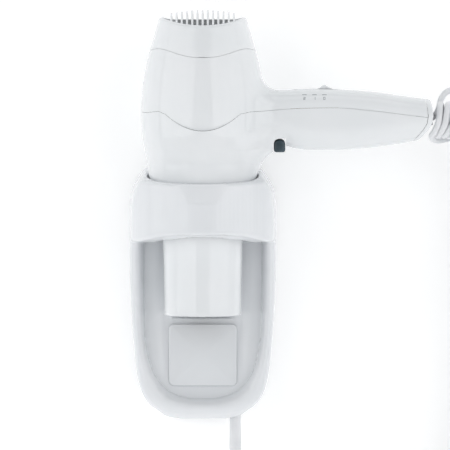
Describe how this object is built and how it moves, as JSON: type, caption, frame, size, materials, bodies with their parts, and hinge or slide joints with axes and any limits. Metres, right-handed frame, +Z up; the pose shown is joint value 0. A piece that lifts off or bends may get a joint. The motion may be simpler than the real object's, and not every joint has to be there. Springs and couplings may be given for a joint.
{
  "type": "hair dryer",
  "caption": "Hair dryer with a side handle hanging nozzle down in the ring of its wall holder, with a slatted inlet cap, slide switch, push-button and spiral cord.",
  "frame": {"origin": "middle of the flat rear face of the wall plate, on the wall", "axes": "+Z up, -Y out of the wall towards the person, +X along the handle"},
  "size_m": [0.2817, 0.1032, 0.4365],
  "materials": {
    "shell": "gloss white ABS",
    "holder": "semi-gloss white ABS",
    "slate": "satin dark slate ABS",
    "cord": "satin white PVC",
    "inner": "dark heat-resistant plastic",
    "mica": "mica sheet",
    "steel": "zinc-plated steel",
    "wire": "heat-tinted resistance wire",
    "board": "paper laminate board",
    "brass": "brass"
  },
  "bodies": {
    "holder": {"wall_plate": "holder", "holder_cover": "holder", "blanking_panel": "holder", "terminal_block": "holder", "cord_anchor": "inner", "cord_anchor_screw": "steel", "cover_screw_upper": "steel", "cover_screw_lower": "steel", "holder_cord_sleeve": "cord", "cord_tail": "cord"},
    "dryer": {"rear_shell": "shell", "front_shell": "shell", "outlet_nozzle": "shell", "handle_end_collar": "shell", "motor_mount": "inner", "motor": "steel", "mica_tube": "mica", "mica_frame": "mica", "heater_coil": "wire", "thermal_cutout": "brass", "outlet_grille": "inner", "slide_switch": "inner", "circuit_board": "board", "push_switch": "inner", "button_spring": "steel", "shell_screw_1": "steel", "shell_screw_2": "steel", "cord_bushing": "inner", "cord_lead": "cord", "curly_cord": "cord", "cord_clamp": "inner", "cord_clamp_screw": "steel"},
    "inlet_cap": {"rear_cap": "shell", "inlet_filter": "inner"},
    "knob": {"slide_knob": "shell"},
    "button": {"safety_button": "slate"},
    "fan": {"impeller": "inner", "motor_shaft": "steel"}
  },
  "joints": [
    {"name": "lift_off", "type": "slide", "parent": "holder", "child": "dryer", "axis": [0, 0, 1], "range_m": [0, 0.125], "deforming": ["curly_cord"]},
    {"name": "cap_pull_off", "type": "slide", "parent": "dryer", "child": "inlet_cap", "axis": [0, 0, 1], "range_m": [0, 0.03]},
    {"name": "switch_slide", "type": "slide", "parent": "dryer", "child": "knob", "axis": [-1, 0, 0], "range_m": [0, 0.0149]},
    {"name": "button_push", "type": "slide", "parent": "dryer", "child": "button", "axis": [0, 0, 1], "range_m": [0, 0.004], "stiffness_N_per_m": 400, "springref_m": -0.002, "deforming": ["button_spring"]},
    {"name": "fan_spin", "type": "hinge", "parent": "dryer", "child": "fan", "pos_m": [0, -0.057, 0.157], "axis": [0, 0, 1], "continuous": true}
  ]
}
